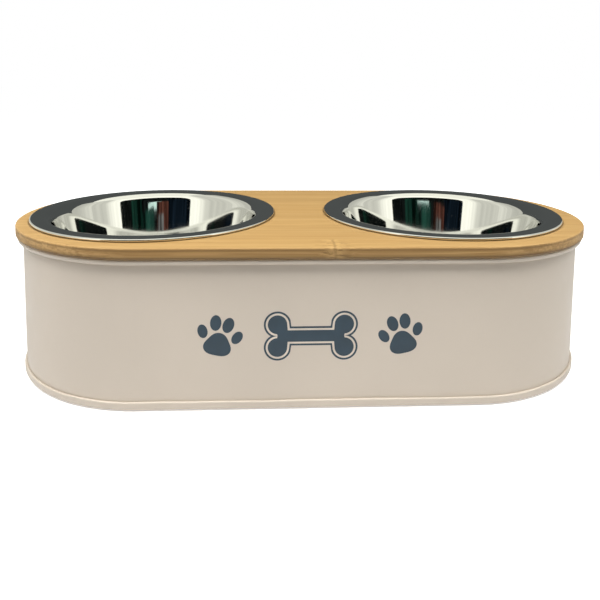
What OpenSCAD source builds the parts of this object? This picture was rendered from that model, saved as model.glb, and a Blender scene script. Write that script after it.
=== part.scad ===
// Raised dog feeder: a round-ended steel storage tin under a bamboo lid that carries two steel bowls.
// The middle of the underside is the origin, X runs along the length and the front faces -Y.

/* [Tin] */
// Length of the tin's wall, outside
tin_l = 430; // [400:1:520]
// Depth of the tin's wall, outside
tin_w = 203; // [195:1:240]
// Height of the tin, from the seam's lower edge to the top of the curl
tin_h = 102; // [85:0.5:180]
// Thickness of the tin's sheet steel
sheet = 0.5; // [0.4:0.05:0.7]
// Diameter of the wire inside the curl
wire_d = 3; // [2:0.5:4]
// Height of the double seam round the base
seam_h = 5.5; // [4.5:0.5:9]
// Space between the folded layers, which the sealing compound fills
layer_gap = 0.1; // [0.08:0.01:0.15]
// Width of the lock seam up the back of the wall
lock_w = 6; // [4:0.5:10]

/* [Base] */
// Height of the base panel's top above the seam's lower edge
panel_rise = 6; // [5:0.5:12]
// Inner radius of the bend from the base panel to its upright wall
panel_bend = 1.5; // [1:0.5:3]
// Height of the stiffening bead pressed into the base panel
bead_h = 1.5; // [1:0.25:2.5]
// Radius of the bead's section
bead_r = 4; // [3:0.5:6]
// Distance from the tin's wall to the middle of the bead
bead_inset = 14; // [12:1:25]

/* [Feet] */
// Diameter of a rubber foot where it is stuck on
foot_d = 18; // [12:1:24]
// Height that the feet lift the seam off the floor
foot_drop = 1; // [0.5:0.25:4]
// Distance of the feet from the middle, along the length
foot_x = 140; // [100:1:150]
// Distance of the feet from the middle, front to back
foot_y = 52; // [30:1:60]

/* [Lid] */
// Distance that the lid stands out past the tin's wall all round
overhang = 5; // [4.5:0.5:12]
// Thickness of the lid's lip, the part that shows
lip_t = 7.5; // [6:0.5:14]
// Depth of the tongue that drops inside the tin
tongue_t = 6; // [5:0.5:10]
// Gap between the tongue and the tin's wall
tongue_gap = 1; // [0.8:0.1:2]
// Rounding of the lip's edges
edge_r = 1; // [0.5:0.25:2.5]
// Bevel round the bowl holes
hole_bevel = 0.8; // [0.4:0.1:1.5]

/* [Seal] */
// Height of the groove that holds the silicone seal
groove_h = 3; // [2.5:0.5:4]
// Depth of the groove into the tongue
groove_in = 2; // [1.5:0.5:4]
// Gap between the seal's ribs and the tin's wall
seal_gap = 0.3; // [0.25:0.05:0.6]

/* [Bowls] */
// Diameter of a bowl over its rolled edge
bowl_d = 188.5; // [155:0.5:192]
// Distance between the middles of the bowl holes
bowl_pitch = 229; // [210:1:250]
// Depth of a bowl, from its rim to its floor
bowl_depth = 56; // [40:1:70]
// Thickness of the bowls' steel
bowl_t = 0.7; // [0.5:0.1:1]
// Width of the flat part of the rim
rim_flat = 8; // [5:0.5:14]
// Diameter of the rolled edge
roll_d = 2.2; // [2:0.1:4]
// Radius of the shoulder between the rim and the bowl's wall
shoulder_r = 8; // [5:0.5:12]
// Lean of the bowl's wall from upright, in degrees
wall_lean = 13; // [5:1:25]
// Radius between the bowl's wall and its floor
corner_r = 22; // [12:1:28]
// Play all round a bowl that hangs in the middle of its hole
hole_gap = 5; // [4:0.25:6]
// How far the bowls have been pushed to the left in their holes
pushed_left = 3; // [0:0.5:3]
// How far the bowls have been pushed to the back in their holes
pushed_back = 2; // [0:0.5:2]

/* [Hidden] */
$fn = 128;

// Clearances that keep resting faces and fitted trim just apart
rest_gap = 0.1;
trim_gap = 0.05;

// Half the length of the straight sides, which is also where the round ends have their middles
run = (tin_l - tin_w) / 2;

// Radii of the tin's wall, round each end's middle
wall_out = tin_w / 2;
wall_in = wall_out - sheet;

// Heights of the tin, from the floor up
seam_low = foot_drop;
tin_top = seam_low + tin_h;
curl_in = wire_d / 2 + layer_gap;
curl_r = wall_out + curl_in;
curl_z = tin_top - curl_in - sheet;
curl_low = curl_z - curl_in - sheet;

// Double seam: five layers of sheet, with the wall's hook and the base's hook folded into each other
fold_in = sheet / 2 + layer_gap;
fold_out = fold_in + sheet;
wrap_in = fold_out + layer_gap;
hook_z = seam_low + wrap_in + sheet;
cover_z = seam_low + seam_h - fold_out;
seam_top = cover_z + fold_out;
fold_r = wall_out + fold_in;
seam_out = fold_r + wrap_in + sheet;
cover_r = wall_out + layer_gap;
chuck_in = wall_in - layer_gap - sheet;

// Base panel
panel_top = seam_low + panel_rise;
panel_low = panel_top - sheet;
panel_r = chuck_in - panel_bend;
bead_at = wall_out - bead_inset;
bead_z = panel_top + bead_h - bead_r - sheet;

// Lock seam
lock_t = 2 * sheet + layer_gap;
lock_low = seam_top + 4 * layer_gap;
lock_top = curl_low - 4 * layer_gap;

// Lid
lid_low = tin_top + rest_gap;
lid_top = lid_low + lip_t;
lid_r = wall_out + overhang;
tongue_r = wall_in - tongue_gap;
tongue_low = lid_low - tongue_t;
groove_low = lid_low - tongue_t / 2 - groove_h / 2;

// Bowl section: rim, shoulder, leaning wall, corner and floor, all tangent to each other
rim_top = lid_top + rest_gap + roll_d;
rim_out = bowl_d / 2;
roll_r = roll_d / 2;
flat_end = rim_out - roll_r - rim_flat;
shoulder = [flat_end, rim_top - shoulder_r];
facing = [-cos(wall_lean), sin(wall_lean)];
wall_high = shoulder + shoulder_r * facing;
floor_z = rim_top - bowl_depth;
corner_z = floor_z + corner_r;
wall_foot_z = corner_z - corner_r * facing[1];
wall_foot = [wall_high[0] - (wall_high[1] - wall_foot_z) * tan(wall_lean), wall_foot_z];
corner = wall_foot + corner_r * facing;

// The hole clears the shoulder's underside where it passes the lid's top face
under_r = shoulder_r - bowl_t;
under_drop = lid_top - shoulder[1];
hole_r = flat_end - sqrt(pow(under_r, 2) - pow(min(under_drop, under_r), 2)) + hole_gap;

// Slack that carries a cut past the face it opens
past = 1;

tin_paint = [0.83, 0.79, 0.73];
bamboo = [0.87, 0.70, 0.47];
steel = [0.78, 0.79, 0.80];
wire_steel = [0.55, 0.56, 0.57];
silicone = [0.90, 0.90, 0.87];
rubber = [0.16, 0.16, 0.16];

// Outline with straight sides and round ends, its edge at radius r from each end's middle
module stadium(r) {
    square([2 * run, 2 * r], center = true);
    for (side = [-1, 1]) translate([side * run, 0]) circle(r);
}

// Carries a section, drawn with X as the radius and Y as the height, round the whole stadium
module round_the_tin() {
    for (side = [-1, 1]) {
        translate([side * run, 0, 0])
            rotate([0, 0, -90 * side])
                rotate_extrude(angle = 180) children();
        rotate([0, 0, 90 - 90 * side])
            translate([-run, 0, 0])
                rotate([90, 0, 90])
                    linear_extrude(2 * run) children();
    }
}

// Bent strip: the part of a ring of inner radius r between two angles
module bent(at, r, t, from, to) {
    steps = ceil((to - from) / 45);
    far = 1.5 * (r + t);
    translate(at) intersection() {
        difference() {
            circle(r + t);
            circle(r);
        }
        polygon([
            [0, 0],
            for (i = [0:steps])
                let (a = from + (to - from) * i / steps)
                far * [cos(a), sin(a)]
        ]);
    }
}

// Wall's sheet: hook at the foot, plain wall, and the curl that wraps the wire
module wall_section() {
    curl_end = -132;
    bent([fold_r, hook_z], fold_in, sheet, 180, 360);
    translate([fold_r + fold_in, hook_z]) square([sheet, cover_z - hook_z]);
    translate([wall_in, hook_z]) square([sheet, curl_z - hook_z]);
    bent([curl_r, curl_z], curl_in, sheet, curl_end, 180);
}

// Folded joint that closes the sheet into a ring, flattened against the outside of the back
module lock_seam() {
    slope = lock_t / 2;
    translate([0, wall_out, lock_low])
        linear_extrude(lock_top - lock_low)
            polygon([
                [-lock_w / 2, -sheet / 2],
                [lock_w / 2, -sheet / 2],
                [lock_w / 2, 0],
                [lock_w / 2 - slope, lock_t],
                [slope - lock_w / 2, lock_t],
                [-lock_w / 2, 0]
            ]);
}

module tin_wall() {
    color(tin_paint) {
        round_the_tin() wall_section();
        lock_seam();
    }
}

module rim_wire() {
    color(wire_steel) round_the_tin()
        translate([curl_r, curl_z]) circle(wire_d / 2);
}

// Base's folded edge: wall up the inside, wrap under the tin's hook, wall up the outside, and the cover hook
module base_edge_section() {
    bent([panel_r, panel_low - panel_bend], panel_bend, sheet, 0, 90);
    translate([chuck_in, hook_z]) square([sheet, panel_low - panel_bend - hook_z]);
    bent([fold_r, hook_z], wrap_in, sheet, 180, 360);
    translate([seam_out - sheet, hook_z]) square([sheet, cover_z - hook_z]);
    bent([seam_out - fold_out, cover_z], fold_in, sheet, 0, 180);
    translate([cover_r, hook_z]) square([sheet, cover_z - hook_z]);
}

module base_panel() {
    difference() {
        union() {
            translate([0, 0, panel_low]) linear_extrude(sheet) stadium(panel_r);
            round_the_tin() intersection() {
                translate([bead_at, bead_z]) circle(bead_r + sheet);
                translate([bead_at - 2 * bead_r, panel_low]) square([4 * bead_r, 2 * bead_r]);
            }
        }
        round_the_tin() translate([bead_at, bead_z]) circle(bead_r);
    }
}

module tin_base() {
    color(tin_paint) {
        base_panel();
        round_the_tin() base_edge_section();
    }
}

// Stuck-on foot with a slight taper and a rounded tread
module foot(side, end) {
    top_r = foot_d / 2;
    taper = 1;
    tread_r = 1;
    low_r = top_r - taper;
    color(rubber)
        translate([side * foot_x, end * foot_y, 0])
            rotate_extrude() {
                square([low_r - tread_r, tread_r]);
                intersection() {
                    translate([low_r - tread_r, tread_r]) circle(tread_r);
                    square([low_r, tread_r]);
                }
                polygon([[0, tread_r], [low_r, tread_r], [top_r, panel_low], [0, panel_low]]);
            }
}

// Slab with a stadium outline and rounded edges above and below
module lip() {
    translate([0, 0, lid_low]) {
        linear_extrude(lip_t) stadium(lid_r - edge_r);
        translate([0, 0, edge_r]) linear_extrude(lip_t - 2 * edge_r) stadium(lid_r);
    }
    round_the_tin()
        for (z = [lid_low + edge_r, lid_top - edge_r])
            translate([lid_r - edge_r, z]) circle(edge_r);
}

module bowl_hole() {
    translate([0, 0, tongue_low - past]) cylinder(r = hole_r, h = lid_top - tongue_low + 2 * past);
    rotate_extrude() polygon([
        [hole_r - past, lid_top + past],
        [hole_r - past, lid_top - hole_bevel - past],
        [hole_r + hole_bevel + past, lid_top + past]
    ]);
}

module lid_board() {
    color(bamboo) difference() {
        union() {
            lip();
            translate([0, 0, tongue_low]) linear_extrude(tongue_t + edge_r) stadium(tongue_r);
        }
        for (side = [-1, 1]) translate([side * bowl_pitch / 2, 0, 0]) bowl_hole();
        round_the_tin() translate([tongue_r - groove_in, groove_low]) square([groove_in + past, groove_h]);
    }
}

// Seal: a flat back in the groove and two soft ribs towards the wall
module seal_section() {
    rib_r = tongue_gap - seal_gap;
    band_h = groove_h - 2 * trim_gap;
    translate([tongue_r - groove_in + trim_gap, groove_low + trim_gap])
        square([groove_in - trim_gap, band_h]);
    for (rib = [-1, 1])
        translate([tongue_r, groove_low + groove_h / 2 + rib * (band_h / 2 - rib_r)]) circle(rib_r);
}

module lid_seal() {
    color(silicone) round_the_tin() seal_section();
}

module bowl_section() {
    roll_end = -150;
    bent([rim_out - roll_r, rim_top - roll_r], roll_r - bowl_t, bowl_t, roll_end, 90);
    translate([flat_end, rim_top - bowl_t]) square([rim_flat, bowl_t]);
    bent(shoulder, under_r, bowl_t, 90, 180 - wall_lean);
    polygon([wall_high, wall_foot, wall_foot - bowl_t * facing, wall_high - bowl_t * facing]);
    bent(corner, corner_r, bowl_t, -90, -wall_lean);
    translate([0, floor_z - bowl_t]) square([corner[0], bowl_t]);
}

module bowl(side) {
    color(steel)
        translate([side * bowl_pitch / 2 - pushed_left, pushed_back, 0])
            rotate_extrude() bowl_section();
}

tin_wall();
rim_wire();
tin_base();
foot(-1, -1);  // foot_front_left
foot(1, -1);  // foot_front_right
foot(-1, 1);  // foot_back_left
foot(1, 1);  // foot_back_right
lid_board();
lid_seal();
bowl(-1);  // bowl_left
bowl(1);  // bowl_right
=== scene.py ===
from math import atan2, cos, degrees, pi, radians, sin, tan
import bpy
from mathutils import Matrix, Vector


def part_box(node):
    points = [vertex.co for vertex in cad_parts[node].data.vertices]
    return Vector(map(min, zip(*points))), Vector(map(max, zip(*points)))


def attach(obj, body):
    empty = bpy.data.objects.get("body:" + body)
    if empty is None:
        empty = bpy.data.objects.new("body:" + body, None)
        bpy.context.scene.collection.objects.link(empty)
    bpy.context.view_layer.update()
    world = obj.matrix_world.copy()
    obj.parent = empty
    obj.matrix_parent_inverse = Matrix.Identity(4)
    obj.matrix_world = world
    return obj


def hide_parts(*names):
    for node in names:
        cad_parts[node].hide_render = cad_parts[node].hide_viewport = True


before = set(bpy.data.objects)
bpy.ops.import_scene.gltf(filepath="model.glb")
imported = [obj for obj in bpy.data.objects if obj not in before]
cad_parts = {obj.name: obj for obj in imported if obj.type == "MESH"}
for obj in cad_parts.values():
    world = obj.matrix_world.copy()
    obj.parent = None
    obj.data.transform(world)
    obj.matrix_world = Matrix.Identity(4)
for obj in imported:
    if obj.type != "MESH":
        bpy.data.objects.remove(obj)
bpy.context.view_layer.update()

from types import SimpleNamespace

import bmesh
import bpy
import numpy as np
from bpy.props import FloatProperty, FloatVectorProperty, IntProperty, PointerProperty
from bpy.types import Operator, Panel, PropertyGroup
from mathutils import Matrix, Vector

bl_info = {
    "name": "Raised Dog Feeder",
    "version": (1, 0, 0),
    "blender": (4, 5, 0),
    "location": "View3D > Sidebar > Feeder",
    "description": "Builds a round-ended storage tin with a bamboo lid and two steel bowls",
    "category": "Add Mesh",
}

MM = 0.001
MERGE_DISTANCE = 1e-6
SHARP_ANGLE = radians(38)
# Steps round each half circle of the tin's path
END_STEPS = 112
# Spreads numbered strips' tones and knots so that no two neighbours match
GOLDEN = 0.618

LID_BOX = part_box("lid_board")
WALL_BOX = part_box("tin_wall")
BASE_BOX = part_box("tin_base")
SEAL_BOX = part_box("lid_seal")
# Half the length of the straight sides: the round ends have their middles there
RUN = LID_BOX[1][0] - LID_BOX[1][1]


# Settings that a user would change


def length(**settings):
    """A size, kept in metres and shown in the scene's unit of length."""
    return FloatProperty(unit="LENGTH", precision=5, **settings)


def tint(**settings):
    """A colour of three shares, from 0 to 1."""
    return FloatVectorProperty(subtype="COLOR", size=3, min=0, max=1, **settings)


class FeederTinSettings(PropertyGroup):
    sheet: length(name="Sheet", description="Thickness of the steel sheet", default=0.5 * MM)
    wire: length(name="Wire", description="Diameter of the wire inside the curl", default=3 * MM)
    layer_gap: length(
        name="Layer gap", description="Space between the folded layers of sheet", default=0.1 * MM
    )
    seam_height: length(
        name="Seam height", description="Height of the double seam round the base", default=5.5 * MM
    )
    panel_rise: length(
        name="Panel rise",
        description="Height of the base panel above the seam's lower edge",
        default=6 * MM,
    )
    panel_bend: length(
        name="Panel bend", description="Inner radius of the bend round the base panel", default=1.5 * MM
    )
    bead_radius: length(
        name="Bead radius", description="Radius of the stiffening bead's section", default=4 * MM
    )
    bead_height: length(name="Bead height", description="Height of the stiffening bead", default=1.5 * MM)
    bead_inset: length(
        name="Bead inset", description="Distance from the wall to the middle of the bead", default=14 * MM
    )
    lock_width: length(
        name="Lock seam width", description="Width of the joint up the back of the wall", default=6 * MM
    )
    ripple: length(name="Ripple", description="How far the thin wall waves in and out", default=0.16 * MM)
    seam_wave: length(
        name="Seam wave",
        description="How far the top of the double seam waves up and down",
        default=0.22 * MM,
    )
    foot_tread: length(
        name="Tread rounding", description="Rounding of a rubber foot's tread", default=1 * MM
    )
    foot_taper: length(
        name="Foot taper", description="How much narrower a foot is at its tread", default=1 * MM
    )
    paint: tint(name="Paint", description="Colour of the powder coat", default=(0.62, 0.545, 0.458))


class FeederLidSettings(PropertyGroup):
    lip: length(name="Lip", description="Thickness of the part of the lid that shows", default=7.5 * MM)
    edge: length(name="Edge rounding", description="Rounding of the lip's edges", default=1 * MM)
    tongue_gap: length(
        name="Tongue gap", description="Gap between the tongue and the tin's wall", default=1 * MM
    )
    groove_depth: length(
        name="Groove depth", description="Depth of the groove that holds the seal", default=2 * MM
    )
    groove_height: length(
        name="Groove height", description="Height of the groove that holds the seal", default=3 * MM
    )
    hole_gap: length(
        name="Hole gap", description="Play round a bowl in the middle of its hole", default=5 * MM
    )
    hole_bevel: length(name="Hole bevel", description="Bevel round the bowl holes", default=0.8 * MM)
    strips: IntProperty(
        name="Strips", description="Number of bamboo strips glued side by side", default=10
    )
    knot_pitch: length(
        name="Knot pitch", description="Distance between a strip's knots", default=400 * MM
    )
    front_knot: length(
        name="Front knot", description="Place along the front strip of its knot", default=15 * MM
    )
    light_wood: tint(
        name="Light wood",
        description="Colour of the wood between its fibres",
        default=(0.505, 0.318, 0.121),
    )
    dark_wood: tint(
        name="Dark wood", description="Colour of the wood's dark fibres", default=(0.36, 0.200, 0.062)
    )


class FeederBowlSettings(PropertyGroup):
    steel: length(name="Steel", description="Thickness of the bowls' steel", default=0.7 * MM)
    depth: length(name="Depth", description="Depth of a bowl, from its rim to its floor", default=56 * MM)
    flat: length(name="Rim flat", description="Width of the flat part of the rim", default=8 * MM)
    roll: length(name="Roll", description="Diameter of the rolled edge", default=2.2 * MM)
    shoulder: length(
        name="Shoulder", description="Radius between the rim and the bowl's wall", default=8 * MM
    )
    corner: length(
        name="Corner", description="Radius between the bowl's wall and its floor", default=22 * MM
    )
    lean: FloatProperty(
        name="Wall lean",
        description="Lean of the bowl's wall from upright",
        default=radians(13),
        unit="ROTATION",
    )
    polish: tint(
        name="Polished steel", description="Colour of the polished steel", default=(0.84, 0.84, 0.82)
    )


class FeederPrintSettings(PropertyGroup):
    height: length(
        name="Print height", description="Height of the print's middle above the floor", default=50 * MM
    )
    bone_length: length(
        name="Bone length", description="Length of the bone, over its knuckles", default=62 * MM
    )
    paw_size: length(name="Paw size", description="Width of a paw print", default=31 * MM)
    spread: length(
        name="Spread", description="Distance from the bone's middle to a paw's middle", default=60 * MM
    )
    film: length(name="Film", description="Thickness of a layer of ink", default=0.04 * MM)
    ink: tint(name="Ink", description="Colour of the print", default=(0.026, 0.050, 0.072))


class FeederStageSettings(PropertyGroup):
    camera_place: FloatVectorProperty(
        name="Camera place",
        description="Where the camera stands",
        subtype="XYZ",
        unit="LENGTH",
        size=3,
        precision=5,
        default=(-29.5 * MM, -496.6 * MM, 216.3 * MM),
    )
    camera_yaw: FloatProperty(
        name="Camera yaw",
        description="Turn of the camera to the right",
        default=radians(3.06),
        unit="ROTATION",
    )
    camera_pitch: FloatProperty(
        name="Camera pitch",
        description="Tilt of the camera downwards",
        default=radians(6.25),
        unit="ROTATION",
    )
    camera_roll: FloatProperty(
        name="Camera roll",
        description="Roll of the camera to the left",
        default=radians(0.54),
        unit="ROTATION",
    )
    focal_share: FloatProperty(
        name="Focal share", description="Focal length over the picture's width", default=1.0427
    )
    shift: FloatProperty(
        name="Shift",
        description="Shift of the picture, which the photograph's framing needs",
        default=-0.25,
    )
    backdrop: FloatProperty(name="Backdrop", description="Brightness of the plain backdrop", default=1.0)
    floor_lift: FloatProperty(
        name="Floor lift", description="Light added to the floor that the camera sees", default=0.35
    )
    floor_glow: FloatProperty(
        name="Floor glow", description="Light that the floor throws up near the feeder", default=0.42
    )
    strip_power: FloatProperty(
        name="Strip light",
        description="Power of the lamps above the booth's front",
        default=11.6,
        unit="POWER",
    )
    side_power: FloatProperty(
        name="Side light", description="Power of the light from each side", default=1.3, unit="POWER"
    )
    ceiling_power: FloatProperty(
        name="Ceiling light", description="Power of the soft light overhead", default=3.0, unit="POWER"
    )
    ceiling_glow: FloatProperty(
        name="Ceiling glow", description="Brightness of the ceiling in the steel", default=1.05
    )
    side_glow: FloatProperty(
        name="Side glow", description="Brightness of the pale walls at the front", default=1.25
    )
    far_glow: FloatProperty(
        name="Far side glow", description="Brightness of the side walls further back", default=0.68
    )
    back_glow: FloatProperty(
        name="Back glow", description="Brightness of the dim wall behind the feeder", default=0.085
    )
    door_glow: FloatProperty(
        name="Doorway glow",
        description="Brightness of the dark room in front of the booth",
        default=0.008,
    )
    door_height: FloatProperty(
        name="Doorway height", description="Height of the booth's open front", default=0.7, unit="LENGTH"
    )


# Surfaces as whole arrays


def arc(middle, radius, start, end, steps):
    """Points on a circle: its middle plus the radius times the cosine and sine of even steps of angle."""
    angle = np.radians(np.linspace(start, end, steps + 1))
    return np.array(middle) + radius * np.column_stack([np.cos(angle), np.sin(angle)])


def line(start, end, steps):
    """Points on a straight line: start plus an even share of the way to end."""
    share = np.linspace(0, 1, steps + 1)[:, None]
    return np.array(start) * (1 - share) + np.array(end) * share


def chain(*stretches):
    """The stretches one after the other, without the points that two of them share."""
    points = np.vstack(stretches)
    step = np.linalg.norm(np.diff(points, axis=0), axis=1)
    return points[np.concatenate([[True], step > MERGE_DISTANCE])]


def sheet_section(middle_line, thickness):
    """Two sides of a bent sheet: the middle line moved half a thickness along its normal, to the right and
    to the left."""
    along = np.gradient(middle_line, axis=0)
    along /= np.linalg.norm(along, axis=1)[:, None]
    normal = np.column_stack([along[:, 1], -along[:, 0]])
    right = middle_line + normal * thickness / 2
    left = middle_line - normal * thickness / 2
    return right, left


def closed(section):
    """The section with its first point again at the end."""
    return np.vstack([section, section[:1]])


def side_stations():
    """Places along a straight side: even steps, with fine ones round the middle, where the lock seam is."""
    fine = np.linspace(0, 5 * MM, 15)
    coarse = np.linspace(5 * MM, RUN, 25)[1:]
    half = np.concatenate([fine, coarse])
    return np.concatenate([-half[:0:-1], half])


def stadium_path():
    """Path round the tin from the front's left end, anticlockwise seen from above. Along the sides the
    middle slides and the outward direction stays. Round the ends the middle stays and the direction turns
    half a circle. The last station is the first one again."""
    x = side_stations()
    turn = np.linspace(-pi / 2, pi / 2, END_STEPS + 1)
    zero, one = np.zeros_like(x), np.ones_like(x)
    front = np.column_stack([x, zero, zero, -one])
    right = np.column_stack([RUN + 0 * turn, 0 * turn, np.cos(turn), np.sin(turn)])
    back = np.column_stack([x[::-1], zero, zero, one])
    left = np.column_stack([-RUN + 0 * turn, 0 * turn, -np.cos(turn), -np.sin(turn)])
    path = np.vstack([front[:-1], right[:-1], back[:-1], left])
    return path[:, :2], path[:, 2:]


def travelled(radius):
    """Distance along the path at each station, measured at a radius."""
    middles, outward = stadium_path()
    points = middles + radius * outward
    return np.concatenate([[0], np.cumsum(np.linalg.norm(np.diff(points, axis=0), axis=1))])


def round_the_tin(section):
    """Grid of a section carried round the path: the station's middle plus the section's radius along the
    outward direction, at the section's height."""
    middles, outward = stadium_path()
    flat = middles[:, None, :] + section[None, :, :1] * outward[:, None, :]
    height = np.broadcast_to(section[None, :, 1:], flat.shape[:2] + (1,))
    return np.concatenate([flat, height], axis=2)


def turned(section, middle, angle):
    """Grid of a section turned about an upright axis: the axis plus the section's radius times the cosine
    and sine of the angle, at the section's height."""
    radius = section[None, :, 0]
    x = middle[0] + radius * np.cos(angle)[:, None]
    y = middle[1] + radius * np.sin(angle)[:, None]
    z = np.broadcast_to(section[None, :, 1], x.shape)
    return np.stack([x, y, z], axis=2)


def eased(value):
    """Smooth step: three squares less two cubes of a value held between 0 and 1."""
    held = np.clip(value, 0, 1)
    return held * held * (3 - 2 * held)


# Meshes and pieces


def mesh_from_grids(name, grids):
    """One mesh of quads from grids of points. A corner's UV is the share of the way that it lies along its
    grid's rows and columns."""
    points, faces, shares, start = [], [], [], 0
    for grid in grids:
        rows, columns = grid.shape[:2]
        corner = start + np.arange(rows * columns).reshape(rows, columns)
        quads = [corner[:-1, :-1], corner[1:, :-1], corner[1:, 1:], corner[:-1, 1:]]
        faces.append(np.stack(quads, axis=-1).reshape(-1, 4))
        across, along = np.meshgrid(np.linspace(0, 1, columns), np.linspace(0, 1, rows))
        shares.append(np.stack([along, across], axis=-1).reshape(-1, 2))
        points.append(grid.reshape(-1, 3))
        start += rows * columns
    points, faces, shares = np.vstack(points), np.vstack(faces), np.vstack(shares)
    mesh = bpy.data.meshes.new(name)
    mesh.vertices.add(len(points))
    mesh.vertices.foreach_set("co", points.astype(np.float32).ravel())
    mesh.loops.add(faces.size)
    mesh.loops.foreach_set("vertex_index", faces.astype(np.int32).ravel())
    mesh.polygons.add(len(faces))
    mesh.polygons.foreach_set("loop_start", np.arange(0, faces.size, 4, dtype=np.int32))
    mesh.update(calc_edges=True)
    uv = mesh.uv_layers.new(name="Along")
    uv.data.foreach_set("uv", shares[faces.ravel()].astype(np.float32).ravel())
    return mesh


def close_mesh(mesh):
    """Merges what the grids share, at seams and poles, and turns the faces outwards."""
    work = bmesh.new()
    work.from_mesh(mesh)
    bmesh.ops.remove_doubles(work, verts=work.verts, dist=MERGE_DISTANCE)
    bmesh.ops.recalc_face_normals(work, faces=work.faces)
    work.to_mesh(mesh)
    work.free()


def make_piece(name, grids, body, material, nodes=(), closes=True):
    """A finished piece: the grids as one smooth mesh at the origin, which rides on its body and stands for
    its nodes."""
    mesh = mesh_from_grids(name, grids)
    if closes:
        close_mesh(mesh)
    mesh.materials.append(material)
    mesh.polygons.foreach_set("use_smooth", np.ones(len(mesh.polygons), dtype=bool))
    mesh.set_sharp_from_angle(angle=SHARP_ANGLE)
    piece = bpy.data.objects.new(name, mesh)
    bpy.context.scene.collection.objects.link(piece)
    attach(piece, body)
    if nodes:
        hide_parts(*nodes)
    return piece


# Materials


class Finish:
    """A material's nodes: each method adds a node, sets or links its inputs and returns its output."""

    def __init__(self, name):
        self.material = bpy.data.materials.new(name)
        self.material.use_nodes = True
        self.tree = self.material.node_tree
        self.shader = next(n for n in self.tree.nodes if n.type == "BSDF_PRINCIPLED")

    def feed(self, node, inputs):
        for key, value in inputs.items():
            if isinstance(value, bpy.types.NodeSocket):
                self.tree.links.new(value, node.inputs[key])
            else:
                node.inputs[key].default_value = value

    def add(self, kind, inputs, **settings):
        node = self.tree.nodes.new("ShaderNode" + kind)
        for key, value in settings.items():
            setattr(node, key, value)
        self.feed(node, inputs)
        return node

    def surface(self, **inputs):
        self.feed(self.shader, {key.replace("_", " "): value for key, value in inputs.items()})

    def place(self):
        return self.add("TexCoord", {}).outputs["Object"]

    def stretched(self, vector, scale):
        return self.add("Mapping", {"Vector": vector, "Scale": scale}).outputs["Vector"]

    def noise(self, vector, scale, detail=3, roughness=0.5):
        inputs = {"Vector": vector, "Scale": scale, "Detail": detail, "Roughness": roughness}
        return self.add("TexNoise", inputs).outputs["Fac"]

    def grain(self, vector, scales, detail=3, roughness=0.5):
        """Noise that is drawn out, by a scale along each axis."""
        return self.noise(self.stretched(vector, scales), 1, detail, roughness)

    def maths(self, operation, first, second=0.0, third=0.0):
        return self.add("Math", {0: first, 1: second, 2: third}, operation=operation).outputs[0]

    def times(self, first, second):
        return self.maths("MULTIPLY", first, second)

    def plus(self, first, second):
        return self.maths("ADD", first, second)

    def less(self, first, second):
        return self.maths("SUBTRACT", first, second)

    def rest(self, share):
        """What a share leaves of one."""
        return self.maths("SUBTRACT", 1.0, share)

    def size(self, value):
        """The value without its sign."""
        return self.maths("ABSOLUTE", value)

    def between(self, value, low, high, new_low=0.0, new_high=1.0, straight=False):
        kind = "LINEAR" if straight else "SMOOTHSTEP"
        inputs = {"Value": value, "From Min": low, "From Max": high, "To Min": new_low, "To Max": new_high}
        return self.add("MapRange", inputs, interpolation_type=kind).outputs["Result"]

    def mix(self, share, first, second):
        inputs = {0: share, 6: opaque(first), 7: opaque(second)}
        return self.add("Mix", inputs, data_type="RGBA").outputs[2]

    def bump(self, height, strength, distance):
        inputs = {"Height": height, "Strength": strength, "Distance": distance}
        return self.add("Bump", inputs).outputs["Normal"]


def opaque(colour):
    """A colour with full alpha, or a socket as it is."""
    return colour if isinstance(colour, bpy.types.NodeSocket) else (*tuple(colour)[:3], 1)


def shade(colour, factor):
    """A colour made lighter or darker."""
    return tuple(min(1.0, c * factor) for c in tuple(colour)[:3])


def powder_coat(colour):
    """Satin powder coat: a fine orange peel over a slight mottle."""
    finish = Finish("powder_coat")
    place = finish.place()
    mottle = finish.noise(place, 9, detail=4)
    speck = finish.noise(place, 420, detail=2)
    peel = finish.noise(place, 1500, detail=2, roughness=0.6)
    shade_share = finish.between(mottle, 0.3, 0.7)
    tone = finish.mix(shade_share, shade(colour, 0.965), shade(colour, 1.02))
    tone = finish.mix(finish.between(speck, 0.66, 0.8, 0, 0.25), tone, shade(colour, 0.9))
    gloss = finish.between(finish.noise(place, 60, detail=5), 0.25, 0.75, 0.34, 0.44)
    finish.surface(Base_Color=tone, Roughness=gloss, Normal=finish.bump(peel, 0.10, 0.15 * MM))
    return finish.material


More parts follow.
